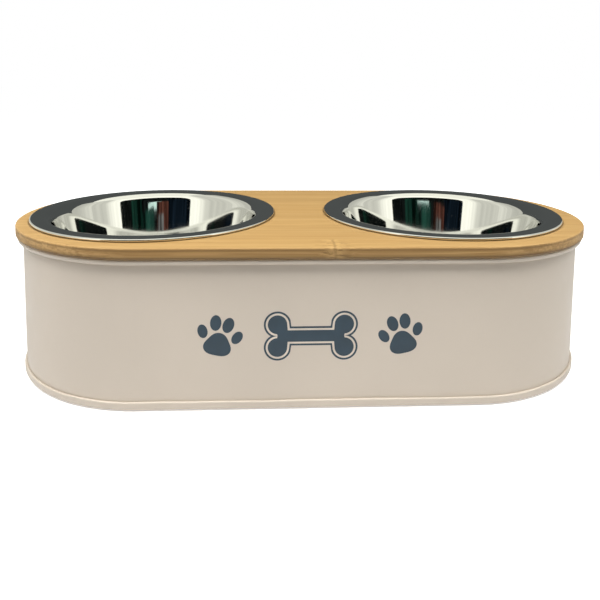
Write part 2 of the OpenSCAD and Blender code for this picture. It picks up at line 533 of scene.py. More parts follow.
def bamboo(settings):
    """Bamboo board: long fibres along X, strips glued side by side with their own tone and knots, a streaky
    brown cut edge painted lighter round the ends, painted shade along the lip's foot, and a painted shadow
    ring round each bowl's edge on the top."""
    finish = Finish("bamboo")
    place = finish.place()
    across = finish.add("SeparateXYZ", {"Vector": place}).outputs
    facing = finish.add("SeparateXYZ", {"Vector": finish.add("NewGeometry", {}).outputs["Normal"]}).outputs
    edge = finish.between(finish.size(facing["Z"]), 0.35, 0.85, 1, 0)
    flat_place = finish.add("VectorMath", {0: place, 1: (1, 1, 0)}, operation="MULTIPLY").outputs["Vector"]

    # Strips count from the front, and each one's tone and knots follow from its number
    count = finish.between(across["Y"], -LID_BOX[1][1], LID_BOX[1][1], 0, settings.strips, straight=True)
    strip = finish.maths("FLOOR", count)
    chance = finish.maths("FRACT", finish.times(strip, GOLDEN))
    tone_chance = finish.maths("FRACT", finish.maths("MULTIPLY_ADD", strip, 0.37, 0.25))

    # A knot crosses a strip once a pitch, and near it the fibres swing aside
    along = finish.maths("DIVIDE", finish.less(across["X"], settings.front_knot), settings.knot_pitch)
    turn = finish.maths("FRACT", finish.plus(finish.plus(along, chance), 0.5))
    off_knot = finish.times(finish.less(turn, 0.5), settings.knot_pitch)
    near_knot = finish.size(off_knot)
    front_strip = finish.between(strip, 0.4, 0.6, 1.0, 0.15)
    swell = finish.times(finish.between(near_knot, 0.0, 20 * MM, 1, 0), front_strip)
    wander = finish.less(finish.grain(place, (130, 260, 260), detail=2), 0.5)
    bend = finish.times(finish.times(wander, swell), 7 * MM)
    sway = finish.times(finish.grain(place, (9, 25, 25), detail=1), 4 * MM)
    bent = finish.add("CombineXYZ", {
        "X": finish.maths("MULTIPLY_ADD", chance, 7.0, across["X"]),
        "Y": finish.plus(finish.plus(across["Y"], bend), sway),
        "Z": finish.plus(finish.plus(across["Z"], bend), sway),
    }).outputs["Vector"]

    broad = finish.grain(bent, (4, 130, 200), detail=3, roughness=0.55)
    fibre = finish.grain(bent, (7, 520, 560), detail=4, roughness=0.6)
    hair = finish.grain(bent, (24, 1900, 1900), detail=2)

    light, dark = settings.light_wood, settings.dark_wood
    tone = finish.mix(finish.between(tone_chance, 0, 1, 0.0, 0.30), shade(light, 1.05), shade(light, 0.80))
    tone = finish.mix(finish.between(broad, 0.3, 0.72, 0.0, 0.42), tone, dark)
    tone = finish.mix(finish.between(fibre, 0.46, 0.72, 0.0, 0.62), tone, dark)
    tone = finish.mix(finish.between(hair, 0.42, 0.72, 0.0, 0.30), tone, shade(dark, 0.8))

    # The cut edge shows the strips' layers as brown streaks
    layers = finish.grain(bent, (4, 700, 560), detail=3, roughness=0.6)
    bands = finish.grain(bent, (3, 60, 330), detail=2)
    # Painted light: round the ends the cut edge is painted lighter, as if more light falls on it there
    round_end = finish.between(finish.size(facing["X"]), 0.25, 0.85, 0, 0.55)
    tone = finish.mix(finish.times(edge, round_end), tone, shade(light, 1.25))
    streaks = finish.times(finish.between(layers, 0.42, 0.66, 0.05, 0.85), edge)
    tone = finish.mix(finish.times(streaks, finish.rest(round_end)), tone, shade(dark, 0.8))
    broad_bands = finish.times(finish.between(bands, 0.45, 0.62, 0, 0.6), edge)
    tone = finish.mix(broad_bands, tone, shade(dark, 0.75))

    # On the lip: painted shadow along its foot, where it meets the tin's curl, and along the sides a band
    # of painted shade above it and a dark line near the top
    foot = LID_BOX[1][2] - settings.lip
    on_lip = finish.times(finish.between(across["Z"], foot - 0.5 * MM, foot - 0.1 * MM), edge)
    on_straight = finish.times(on_lip, finish.rest(round_end))
    arris = finish.size(finish.less(across["Z"], LID_BOX[1][2] - 1.7 * MM))
    arris = finish.times(finish.between(arris, 0.2 * MM, 0.9 * MM, 0.7, 0), on_straight)
    arris = finish.times(arris, finish.between(bands, 0.35, 0.6, 0.4, 1))
    tone = finish.mix(arris, tone, shade(dark, 0.55))
    # Painted shade: the lower part of the straight sides is darkened towards the lip's foot
    lip_shade_band = finish.times(finish.between(across["Z"], foot + 0.8 * MM, foot + 3.4 * MM, 0.75, 0), on_straight)
    tone = finish.mix(lip_shade_band, tone, shade(dark, 0.5))
    # Painted shadow: a dark line at the lip's foot, over the gap above the tin's curl
    lip_foot_shadow = finish.times(finish.between(across["Z"], foot + 0.4 * MM, foot + 1.3 * MM, 0.9, 0), on_lip)
    tone = finish.mix(lip_foot_shadow, tone, shade(dark, 0.2))

    # The knot: a pale swelling, a brown line across the strip and short dashes beside it
    pale = finish.times(finish.between(near_knot, 2 * MM, 9 * MM, 0.4, 0), front_strip)
    tone = finish.mix(pale, tone, shade(light, 1.15))
    dash = finish.grain(bent, (60, 700, 700), detail=2)
    dashes = finish.between(dash, 0.50, 0.66, 0, 0.7)
    scar = finish.times(finish.between(near_knot, 3 * MM, 14 * MM, 1, 0), dashes)
    tone = finish.mix(finish.times(scar, front_strip), tone, shade(dark, 0.6))
    tone = finish.mix(finish.times(finish.times(scar, edge), 0.7), tone, shade(dark, 0.35))
    line_wave = finish.maths("MULTIPLY_ADD", wander, 3 * MM, off_knot)
    knot_line = finish.between(finish.size(line_wave), 0.3 * MM, 1.3 * MM, 0.6, 0)
    knot_line = finish.times(knot_line, front_strip)
    knot_line = finish.times(knot_line, finish.between(hair, 0.3, 0.6, 0.3, 1))
    tone = finish.mix(knot_line, tone, shade(dark, 0.55))

    # Painted shadow: a thin dark ring on the top face just outside each bowl's rolled edge, where the edge
    # rests
    for node in ("bowl_left", "bowl_right"):
        bowl = bowl_places(node)
        reach = finish.add("VectorMath", {0: flat_place, 1: (*bowl.middle, 0)}, operation="DISTANCE")
        off_rim = finish.size(finish.less(reach.outputs["Value"], bowl.rim_out))
        rim_contact_shadow = finish.times(finish.between(off_rim, 0.3 * MM, 1.3 * MM, 0.75, 0), finish.rest(edge))
        tone = finish.mix(rim_contact_shadow, tone, shade(dark, 0.35))

    # Thin glued joints between the strips
    joint = finish.size(finish.less(finish.maths("FRACT", finish.plus(count, 0.5)), 0.5))
    seam = finish.times(finish.between(joint, 0.004, 0.016, 0.35, 0), finish.rest(edge))
    tone = finish.mix(seam, tone, shade(dark, 0.9))

    relief = finish.plus(fibre, finish.times(hair, 0.5))
    finish.surface(
        Base_Color=tone,
        Roughness=finish.between(fibre, 0.3, 0.8, 0.45, 0.62),
        Normal=finish.bump(relief, 0.16, 0.12 * MM),
    )
    return finish.material


def polished_steel(colour):
    """Mirror polish with faint rings round the bowl, read from the piece's own UV map."""
    finish = Finish("polished_steel")
    ring = finish.add("UVMap", {}, uv_map="Along").outputs["UV"]
    rings = finish.grain(ring, (3, 900, 1), detail=3)
    smear = finish.noise(finish.place(), 30, detail=4)
    tone = finish.mix(finish.between(smear, 0.3, 0.7), shade(colour, 0.97), colour)
    finish.surface(
        Base_Color=tone,
        Metallic=1.0,
        Roughness=finish.between(smear, 0.3, 0.75, 0.035, 0.075),
        Normal=finish.bump(rings, 0.03, 0.02 * MM),
    )
    return finish.material


def drawn_wire():
    """Bright drawn wire: long scratches along it."""
    finish = Finish("drawn_wire")
    scratch = finish.grain(finish.place(), (40, 40, 2500), detail=3)
    tone = finish.mix(finish.between(scratch, 0.3, 0.7), (0.42, 0.42, 0.42), (0.58, 0.58, 0.57))
    finish.surface(Base_Color=tone, Metallic=1.0, Roughness=finish.between(scratch, 0.3, 0.7, 0.25, 0.45))
    return finish.material


def foot_rubber():
    """Matt black rubber with a moulded grain and grey dust."""
    finish = Finish("foot_rubber")
    place = finish.place()
    grain = finish.noise(place, 2200, detail=3)
    dust = finish.noise(place, 160, detail=5)
    tone = finish.mix(finish.between(dust, 0.45, 0.8, 0, 0.5), (0.016, 0.016, 0.016), (0.06, 0.058, 0.055))
    finish.surface(
        Base_Color=tone,
        Roughness=finish.between(dust, 0.3, 0.8, 0.62, 0.85),
        Normal=finish.bump(grain, 0.3, 0.1 * MM),
    )
    return finish.material


def seal_silicone():
    """Milky silicone: light goes a little way in, and the skin is slightly cloudy."""
    finish = Finish("seal_silicone")
    cloud = finish.noise(finish.place(), 120, detail=4)
    tone = finish.mix(finish.between(cloud, 0.3, 0.7), (0.70, 0.70, 0.66), (0.80, 0.80, 0.77))
    finish.surface(Base_Color=tone, Roughness=finish.between(cloud, 0.3, 0.7, 0.38, 0.5))
    finish.surface(Subsurface_Weight=0.3, Subsurface_Radius=(1.5 * MM, 1.4 * MM, 1.2 * MM))
    return finish.material


def printed_ink(name, colour):
    """Screen-printed ink: thin spots and a slightly duller gloss than the paint."""
    finish = Finish(name)
    place = finish.place()
    thin = finish.noise(place, 900, detail=3)
    cloud = finish.noise(place, 70, detail=3)
    tone = finish.mix(finish.between(cloud, 0.3, 0.7), shade(colour, 0.92), shade(colour, 1.12))
    tone = finish.mix(finish.between(thin, 0.68, 0.85, 0, 0.4), tone, shade(colour, 1.8))
    finish.surface(
        Base_Color=tone,
        Roughness=finish.between(cloud, 0.3, 0.7, 0.4, 0.5),
        Normal=finish.bump(thin, 0.08, 0.1 * MM),
    )
    return finish.material


# Shared places, worked out from the frame and the settings


def tin_places():
    """Radii and heights of the tin's sheet, from the boxes of its two steel parts."""
    s = bpy.context.scene.feeder_tin
    curl_in = s.wire / 2 + s.layer_gap
    fold_in = s.sheet / 2 + s.layer_gap
    fold_out = fold_in + s.sheet
    wrap_in = fold_out + s.layer_gap
    wall_out = WALL_BOX[1][1] - 2 * curl_in - s.sheet
    low = BASE_BOX[0][2]
    return SimpleNamespace(
        wall_out=wall_out,
        wall_in=wall_out - s.sheet,
        curl_in=curl_in,
        curl_r=wall_out + curl_in,
        curl_z=WALL_BOX[1][2] - curl_in - s.sheet,
        fold_in=fold_in,
        fold_out=fold_out,
        wrap_in=wrap_in,
        fold_r=wall_out + fold_in,
        hook_z=low + wrap_in + s.sheet,
        cover_z=low + s.seam_height - fold_out,
        seam_top=low + s.seam_height,
        seam_out=wall_out + fold_in + wrap_in + s.sheet,
        chuck_in=wall_out - s.sheet - s.layer_gap - s.sheet,
        panel_top=low + s.panel_rise,
    )


def bowl_places(node):
    """Middle, heights and tangent points of a bowl's section, from its box."""
    s = bpy.context.scene.feeder_bowls
    low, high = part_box(node)
    top = high[2]
    rim_out = (high[1] - low[1]) / 2
    roll = s.roll / 2
    flat_end = rim_out - roll - s.flat
    facing = np.array([-cos(s.lean), sin(s.lean)])
    shoulder = np.array([flat_end, top - s.shoulder])
    wall_high = shoulder + s.shoulder * facing
    corner_z = top - s.depth + s.corner
    foot_z = corner_z - s.corner * facing[1]
    wall_foot = np.array([wall_high[0] - (wall_high[1] - foot_z) * tan(s.lean), foot_z])
    return SimpleNamespace(
        middle=((low[0] + high[0]) / 2, (low[1] + high[1]) / 2),
        top=top,
        rim_out=rim_out,
        roll=roll,
        flat_end=flat_end,
        shoulder=shoulder,
        wall_high=wall_high,
        wall_foot=wall_foot,
        corner=wall_foot + s.corner * facing,
        floor=top - s.depth,
    )


def hole_middles():
    """Middles of the two holes, which mirror each other and are as far apart as the bowls, whichever way
    the loose bowls are pushed."""
    left, right = (bowl_places(node).middle for node in ("bowl_left", "bowl_right"))
    half = (right[0] - left[0]) / 2
    return {-1: (-half, 0.0), 1: (half, 0.0)}


def hole_radius():
    """Radius of a hole, which clears the underside of the bowl's shoulder where it passes the lid's top."""
    bowl = bpy.context.scene.feeder_bowls
    places = bowl_places("bowl_left")
    under = bowl.shoulder - bowl.steel
    drop = min(LID_BOX[1][2] - places.shoulder[1], under)
    return places.flat_end - (under**2 - drop**2) ** 0.5 + bpy.context.scene.feeder_lid.hole_gap


# Shallow dents in the front: place along it, height, depth, width and height of the dent
WALL_DENTS = (
    (-0.099, 0.016, -0.00022, 0.016, 0.006),
    (-0.137, 0.092, -0.00025, 0.012, 0.010),
    (0.137, 0.094, -0.00025, 0.012, 0.009),
    (0.070, 0.020, -0.00012, 0.022, 0.008),
)
# Shares of the wall's height over which its ripple fades out, above the seam and below the curl
SEAM_FADE = 0.16
CURL_FADE = 0.12


def wall_ripple(along, height):
    """How far the wall stands out of true: long crossing sine waves and a few shallow dents, faded out
    towards the seam and the curl."""
    s = bpy.context.scene.feeder_tin
    t = tin_places()
    low, high = t.seam_top + 1 * MM, t.curl_z - t.curl_in
    share = (height - low) / (high - low)
    free = eased(share / SEAM_FADE) * eased((1 - share) / CURL_FADE)
    wave = (
        0.5 * np.sin(along / 0.037 + 1.3)
        + 0.35 * np.sin(along / 0.021 + height / 0.03 + 0.4)
        + 0.25 * np.sin(along / 0.013 - height / 0.05 + 2.0)
        + 0.4 * np.sin(height / 0.028 + np.sin(along / 0.05))
    )
    dent = sum(
        depth * np.exp(-(((along - RUN - x) / wide) ** 2) - ((height - z) / tall) ** 2)
        for x, z, depth, wide, tall in WALL_DENTS
    )
    return free * (s.ripple * wave + dent)


# Pieces


class FEEDER_OT_tin_wall(Operator):
    """Tin's wall: a hooked and curled sheet section carried round the path and waved by the ripple"""

    bl_idname = "feeder.tin_wall"
    bl_label = "Tin Wall"

    def execute(self, context):
        s, t = context.scene.feeder_tin, tin_places()
        half = s.sheet / 2
        wall = t.wall_in + half
        section = chain(
            line((t.fold_r + t.fold_in + half, t.cover_z), (t.fold_r + t.fold_in + half, t.hook_z), 2),
            arc((t.fold_r, t.hook_z), t.fold_in + half, 0, -180, 8),
            line((wall, t.hook_z), (wall, t.curl_z), 44),
            arc((t.curl_r, t.curl_z), t.curl_in + half, 180, -132, 26),
        )
        right, left = sheet_section(section, s.sheet)
        along = travelled(t.wall_out)
        grids = [self.rippled(round_the_tin(side), along, lock) for side, lock in ((left, 1), (right, 0))]
        whole = np.concatenate([grids[0], grids[1][:, ::-1], grids[0][:, :1]], axis=1)
        make_piece("tin_wall_shell", [whole], "tin", powder_coat(s.paint), ["tin_wall"])
        return {"FINISHED"}

    def rippled(self, grid, along, lock):
        """Each point of the upright wall moved outwards by the ripple, and on the outside also by the
        folded lock seam, whose thickness eases in at its sides and ends."""
        s, t = bpy.context.scene.feeder_tin, tin_places()
        middles, outward = stadium_path()
        radius = np.linalg.norm(grid[:, :, :2] - middles[:, None, :], axis=2)
        on_wall = np.abs(radius - t.wall_in) < 1.2 * s.sheet
        height = grid[:, :, 2]
        shift = wall_ripple(along[:, None], height)
        thick = 2 * s.sheet + s.layer_gap
        beside = s.lock_width / 2 - np.abs(grid[:, :, 0])
        at_back = (outward[:, 1:] > 0.9999) * eased(beside / (thick / 2))
        clear, ease = 0.4 * MM, 1.5 * MM
        above_seam = height - t.seam_top - clear
        below_curl = t.curl_z - t.curl_in - s.sheet - clear - height
        reach = eased(above_seam / ease) * eased(below_curl / ease)
        shift = (shift + lock * thick * at_back * reach) * on_wall
        grid[:, :, :2] += shift[:, :, None] * outward[:, None, :]
        return grid


class FEEDER_OT_tin_base(Operator):
    """Tin's base: a folded sheet with a beaded panel, an upright wall and an edge round the tin's hook"""

    bl_idname = "feeder.tin_base"
    bl_label = "Tin Base"

    def execute(self, context):
        s, t = context.scene.feeder_tin, tin_places()
        half = s.sheet / 2
        panel = t.panel_top - half
        bead_r = s.bead_radius + half
        bead = (t.wall_out - s.bead_inset, t.panel_top + s.bead_height - s.sheet - s.bead_radius)
        open_angle = degrees(atan2(panel - bead[1], (bead_r**2 - (panel - bead[1]) ** 2) ** 0.5))
        bend = (t.chuck_in - s.panel_bend, t.panel_top - s.sheet - s.panel_bend)
        cover = (t.seam_out - t.fold_out, t.cover_z)
        inner, upper = t.wall_out + s.layer_gap + half, t.seam_top - half
        middle_line = chain(
            line((0, panel), (bead[0] - bead_r, panel), 14),
            arc(bead, bead_r, 180 - open_angle, open_angle, 12),
            line((bead[0] + bead_r, panel), (bend[0], panel), 3),
            arc(bend, s.panel_bend + half, 90, 0, 8),
            line((t.chuck_in + half, bend[1]), (t.chuck_in + half, t.hook_z), 3),
            arc((t.fold_r, t.hook_z), t.wrap_in + half, 180, 360, 16),
            line((t.seam_out - half, t.hook_z), (t.seam_out - half, t.cover_z), 8),
            arc(cover, t.fold_in + half, 0, 90, 8),
            line((cover[0], upper), (inner, upper), 3),
            line((inner, upper), (inner, t.hook_z), 3),
        )
        right, left = sheet_section(middle_line, s.sheet)
        right[0, 0] = left[0, 0] = 0
        along = travelled(t.seam_out)
        whole = np.concatenate([round_the_tin(right), round_the_tin(left)[:, ::-1]], axis=1)
        grid = self.waved(whole, along)
        make_piece("tin_base_pan", [grid], "tin", powder_coat(s.paint), ["tin_base"])
        return {"FINISHED"}

    def waved(self, grid, along):
        """The rolled top of the seam moved up and down by two sine waves along it, and not at all at its
        foot."""
        s, t = bpy.context.scene.feeder_tin, tin_places()
        wave = 0.6 * np.sin(along / 0.0191 + 0.7) + 0.4 * np.sin(along / 0.0083 + np.sin(along / 0.06))
        middles = stadium_path()[0]
        outer = np.linalg.norm(grid[:, :, :2] - middles[:, None, :], axis=2) > t.wall_out
        reach = eased((grid[:, :, 2] - t.hook_z) / (t.cover_z - t.hook_z))
        grid[:, :, 2] += s.seam_wave * (wave[:, None] - 0.6) * outer * reach
        return grid


class FEEDER_OT_rim_wire(Operator):
    """Wire inside the curl: the frame's own part with a drawn finish"""

    bl_idname = "feeder.rim_wire"
    bl_label = "Rim Wire"

    def execute(self, context):
        finish_node("rim_wire", drawn_wire())
        return {"FINISHED"}


def finish_node(node, material):
    """Gives a part of the frame its material."""
    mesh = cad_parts[node].data
    mesh.materials.clear()
    mesh.materials.append(material)


class FEEDER_OT_feet(Operator):
    """Four rubber feet: a tapered section with a rounded tread, turned about each foot's axis"""

    bl_idname = "feeder.feet"
    bl_label = "Rubber Feet"

    def execute(self, context):
        s = context.scene.feeder_tin
        rubber = foot_rubber()
        angle = np.linspace(0, 2 * pi, 49)
        for node in ("foot_front_left", "foot_front_right", "foot_back_left", "foot_back_right"):
            low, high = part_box(node)
            top_r = (high[0] - low[0]) / 2
            tread_r = top_r - s.foot_taper - s.foot_tread
            section = chain(
                line((0, low[2]), (tread_r, low[2]), 4),
                arc((tread_r, low[2] + s.foot_tread), s.foot_tread, -90, 0, 6),
                line((tread_r + s.foot_tread, low[2] + s.foot_tread), (top_r, high[2]), 3),
                line((top_r, high[2]), (0, high[2]), 4),
            )
            middle = ((low[0] + high[0]) / 2, (low[1] + high[1]) / 2)
            make_piece(node + "_pad", [turned(section, middle, angle)], "tin", rubber, [node])
        return {"FINISHED"}


class FEEDER_OT_lid_board(Operator):
    """Bamboo lid: an edge carried round the path, flat faces between it and the holes, and the holes"""

    bl_idname = "feeder.lid_board"
    bl_label = "Bamboo Lid"

    def execute(self, context):
        s, t = context.scene.feeder_lid, tin_places()
        top, low = LID_BOX[1][2], LID_BOX[0][2]
        lip_low = top - s.lip
        lid_r = LID_BOX[1][1]
        tongue_r = t.wall_in - s.tongue_gap
        ease = 0.4 * MM
        groove = (lip_low + low) / 2 + np.array([-0.5, 0.5]) * s.groove_height
        floor_r = tongue_r - s.groove_depth
        edge = chain(
            line((tongue_r - ease, low), (tongue_r, low + ease), 1),
            line((tongue_r, low + ease), (tongue_r, groove[0]), 2),
            line((tongue_r, groove[0]), (floor_r, groove[0]), 1),
            line((floor_r, groove[0]), (floor_r, groove[1]), 1),
            line((floor_r, groove[1]), (tongue_r, groove[1]), 1),
            line((tongue_r, groove[1]), (tongue_r, lip_low), 1),
            line((tongue_r, lip_low), (lid_r - s.edge, lip_low), 2),
            arc((lid_r - s.edge, lip_low + s.edge), s.edge, -90, 0, 6),
            line((lid_r, lip_low + s.edge), (lid_r, top - s.edge), 4),
            arc((lid_r - s.edge, top - s.edge), s.edge, 0, 90, 6),
        )
        grids = [round_the_tin(edge)]
        hole_r = hole_radius()
        hole = chain(
            line((hole_r + s.hole_bevel, top), (hole_r, top - s.hole_bevel), 2),
            line((hole_r, top - s.hole_bevel), (hole_r, low + ease), 6),
            line((hole_r, low + ease), (hole_r + ease, low), 1),
        )
        for side, middle in hole_middles().items():
            grids.append(self.face(side, middle, hole[0], edge[-1]))
            grids.append(self.face(side, middle, hole[-1], edge[0]))
            grids.append(turned(hole, middle, self.angles(side, middle, edge[-1][0])))
        make_piece("lid_bamboo_board", grids, "lid", bamboo(s), ["lid_board"])
        return {"FINISHED"}

    def outline(self, side, radius):
        """Half of the stadium outline at a radius, closed along the board's middle line."""
        middles, outward = stadium_path()
        points = (middles + radius * outward)[:-1]
        kept = points[points[:, 0] * side >= -MERGE_DISTANCE]
        corner = np.argsort(np.arctan2(kept[:, 1], (kept[:, 0] - side * RUN) * side))
        kept = kept[corner]
        middle_line = line((0, kept[-1, 1]), (0, kept[0, 1]), 40)[1:]
        return np.vstack([kept, middle_line])

    def angles(self, side, middle, radius):
        """Direction from the hole's middle to each point of the outline."""
        points = self.outline(side, radius)
        return np.arctan2(points[:, 1] - middle[1], points[:, 0] - middle[0])

    def face(self, side, middle, inner, outer):
        """Flat face: each point lies a share of the way from the hole's edge to the outline, in the same
        direction from the hole's middle."""
        points = self.outline(side, outer[0])
        angle = self.angles(side, middle, outer[0])
        rim = np.array(middle) + inner[0] * np.column_stack([np.cos(angle), np.sin(angle)])
        share = np.linspace(0, 1, 9)[None, :, None]
        flat = rim[:, None, :] * (1 - share) + points[:, None, :] * share
        return np.concatenate([flat, np.full(flat.shape[:2] + (1,), outer[1])], axis=2)


class FEEDER_OT_lid_seal(Operator):
    """Silicone seal: a flat back with two round ribs, carried round the path in the tongue's groove"""

    bl_idname = "feeder.lid_seal"
    bl_label = "Lid Seal"

    def execute(self, context):
        s, t = context.scene.feeder_lid, tin_places()
        low, high = SEAL_BOX[0][2], SEAL_BOX[1][2]
        face = t.wall_in - s.tongue_gap
        back = face - s.groove_depth + 0.05 * MM
        rib = SEAL_BOX[1][1] - face
        section = chain(
            line((back, low), (face, low), 1),
            arc((face, low + rib), rib, -90, 90, 10),
            arc((face, high - rib), rib, -90, 90, 10),
            line((face, high), (back, high), 1),
        )
        grid = round_the_tin(closed(section))
        make_piece("lid_seal_ring", [grid], "lid", seal_silicone(), ["lid_seal"])
        return {"FINISHED"}


class FEEDER_OT_bowls(Operator):
    """Two steel bowls: a bent sheet from the floor to the rolled edge, turned about each bowl's axis"""

    bl_idname = "feeder.bowls"
    bl_label = "Steel Bowls"

    def execute(self, context):
        s = context.scene.feeder_bowls
        steel = polished_steel(s.polish)
        half = s.steel / 2
        angle = np.linspace(0, 2 * pi, 289)
        for node, body in (("bowl_left", "left_bowl"), ("bowl_right", "right_bowl")):
            p = bowl_places(node)
            lean = degrees(s.lean)
            out = np.array([cos(s.lean), -sin(s.lean)]) * half
            middle_line = chain(
                line((0, p.floor - half), (p.corner[0], p.floor - half), 20),
                arc(p.corner, s.corner + half, -90, -lean, 22),
                line(p.wall_foot + out, p.wall_high + out, 14),
                arc(p.shoulder, s.shoulder - half, 180 - lean, 90, 20),
                line((p.flat_end, p.top - half), (p.rim_out - p.roll, p.top - half), 6),
                arc((p.rim_out - p.roll, p.top - p.roll), p.roll - half, 90, -150, 20),
            )
            right, left = sheet_section(middle_line, s.steel)
            right[0, 0] = left[0, 0] = 0
            grid = turned(np.vstack([right, left[::-1]]), p.middle, angle)
            make_piece(node + "_steel", [grid], body, steel, [node])
        return {"FINISHED"}


# Toes of a paw print, in halves of its width: place across, height and radius, and then the tip in degrees
PAW_TOES = (
    (-0.74, 0.10, 0.30, 24),
    (-0.27, 0.56, 0.34, 8),
    (0.27, 0.56, 0.34, -8),
    (0.74, 0.10, 0.30, -24),
)


class FEEDER_OT_print(Operator):
    """Print on the front: an outlined bone between two paw prints, as thin films that follow the wall"""

    bl_idname = "feeder.print"
    bl_label = "Front Print"

    def execute(self, context):
        s, paint = context.scene.feeder_print, context.scene.feeder_tin.paint
        dark, light = printed_ink("slate_ink", s.ink), printed_ink("cream_ink", shade(paint, 1.04))
        layers = (
            ("print_bone_edge", self.bone(0), 1, dark),
            ("print_bone_line", self.bone(-1.3 * MM), 2, light),
            ("print_bone_body", self.bone(-2.6 * MM), 3, dark),
            ("print_paw_left", self.paw(-1), 1, dark),
            ("print_paw_right", self.paw(1), 1, dark),
        )
        for name, patches, layer, ink in layers:
            grids = [self.on_wall(patch, layer * s.film) for patch in patches]
            make_piece(name, grids, "tin", ink, closes=False)
        return {"FINISHED"}

    def bone(self, grow):
        """Bone as an upper and a lower half: at each place along it, the shape reaches from its middle
        line, or from the notch between two knuckles, to the top of the shaft or of the knuckle's circle.
        It grows or shrinks all round."""
        s = bpy.context.scene.feeder_print
        knuckle = 0.145 * s.bone_length
        apart = 0.125 * s.bone_length
        ahead = s.bone_length / 2 - knuckle
        shaft = 0.105 * s.bone_length + grow
        radius = knuckle + grow
        reach = ahead + radius
        x = reach * np.sin(np.linspace(-pi / 2, pi / 2, 161))
        from_knuckle = np.abs(x) - ahead
        rise = np.sqrt(np.clip(radius**2 - from_knuckle**2, 0, None))
        inside = np.abs(from_knuckle) <= radius
        top = np.where(inside, np.maximum(apart + rise, np.where(np.abs(x) < ahead, shaft, 0)), shaft)
        notch = np.where((from_knuckle > 0) & (apart > rise), apart - rise, 0)
        share = np.linspace(0, 1, 13)[None, :]
        z = notch[:, None] * (1 - share) + top[:, None] * share
        x = np.broadcast_to(x[:, None], z.shape)
        return [np.stack([x, z], axis=2), np.stack([x[:, ::-1], -z[:, ::-1]], axis=2)]

    def paw(self, side):
        """Paw print: a rounded triangular pad, whose radius follows the cosine of three times the angle,
        and four oval toes."""
        s = bpy.context.scene.feeder_print
        unit = s.paw_size / 2
        angle = np.linspace(0, 2 * pi, 97)
        reach = np.linspace(0, 1, 11)[None, :]
        lean = side * radians(12)
        turn = np.array([[cos(lean), -sin(lean)], [sin(lean), cos(lean)]])
        pad = 0.50 * unit * (1 - 0.10 * np.cos(3 * (angle + pi / 2)))
        shapes = [((0.0, -0.38), pad, 1.14, 0.0)]
        for x, z, tall, tip in PAW_TOES:
            shapes.append(((x, z), np.full_like(angle, tall * unit), 0.70, radians(tip)))
        patches = []
        for (x, z), radius, squeeze, tip in shapes:
            flat = np.stack([squeeze * radius * np.cos(angle), radius * np.sin(angle)], axis=1)
            flat = flat @ np.array([[cos(tip), sin(tip)], [-sin(tip), cos(tip)]])
            points = np.array([x * unit, z * unit]) + flat[:, None, :] * reach[:, :, None]
            patches.append(points @ turn.T + np.array([side * s.spread, 0]))
        return patches

    def on_wall(self, patch, film):
        """A flat patch laid on the front: its height is the print's, and it stands off the rippled wall by
        its film."""
        s, t = bpy.context.scene.feeder_print, tin_places()
        x, z = patch[:, :, 0], patch[:, :, 1] + s.height
        y = -(t.wall_out + wall_ripple(x + RUN, z) + film)
        return np.stack([x, y, z], axis=2)


# Stage


# Where the booth's walls stand: the side walls dim from the middle on, and the ceiling is lit up to "lit"
BOOTH = SimpleNamespace(left=-0.56, right=0.83, front=-0.6, middle=0.13, lit=0.45, back=0.8, tall=1.2)
PALE = (1.0, 1.0, 0.88)
DIM = (0.92, 1.0, 0.98)


def wall_card(name, corners, colour, glow, lights=True, fade=None, streaks=False):
    """A glowing flat card that shows in reflections, but not in the picture itself, and lights the feeder
    unless it is told not to. With a fade, its glow changes along Y, between two places, to another
    brightness, and has faint upright folds. With streaks, it has upright bands, some almost black."""
    mesh = bpy.data.meshes.new(name)
    mesh.from_pydata(corners, [], [tuple(range(len(corners)))])
    finish = Finish(name)
    finish.surface(Base_Color=(0, 0, 0, 1), Roughness=1.0, Specular_IOR_Level=0)
    finish.surface(Emission_Color=opaque(colour), Emission_Strength=glow)
    if fade:
        start, end, far_glow = fade
        place = finish.place()
        along = finish.add("SeparateXYZ", {"Vector": place}).outputs["Y"]
        folds = finish.between(finish.grain(place, (22, 22, 0.6), detail=4), 0.3, 0.7, 0.92, 1.06)
        fading = finish.between(along, start, end, glow, far_glow)
        finish.surface(Emission_Strength=finish.times(fading, folds))
    if streaks:
        broad = finish.grain(finish.place(), (16, 1, 2.5), detail=1)
        fine = finish.grain(finish.place(), (60, 1, 5), detail=3)
        broad = finish.between(broad, 0.35, 0.62, 0.15, 1.5)
        fine = finish.between(fine, 0.3, 0.7, 0.5, 1.4)
        finish.surface(Emission_Strength=finish.times(finish.times(broad, fine), glow))
    mesh.materials.append(finish.material)
    card = bpy.data.objects.new(name, mesh)
    bpy.context.scene.collection.objects.link(card)
    card.visible_camera = False
    card.visible_diffuse = lights


def upright_card(name, start, end, heights, colour, glow, **looks):
    """A card that stands on a line from start to end, between two heights."""
    low, high = heights
    corners = [(*start, low), (*end, low), (*end, high), (*start, high)]
    wall_card(name, corners, colour, glow, **looks)


def area_light(name, place, aim, size, power):
    """A soft rectangular light at a place, turned to its aim, which doesn't show in reflections."""
    data = bpy.data.lights.new(name, "AREA")
    data.shape = "RECTANGLE"
    data.size, data.size_y = size
    data.energy = power
    lamp = bpy.data.objects.new(name, data)
    lamp.location = place
    lamp.rotation_euler = (Vector(aim) - Vector(place)).to_track_quat("-Z", "Y").to_euler()
    lamp.visible_glossy = False
    bpy.context.scene.collection.objects.link(lamp)


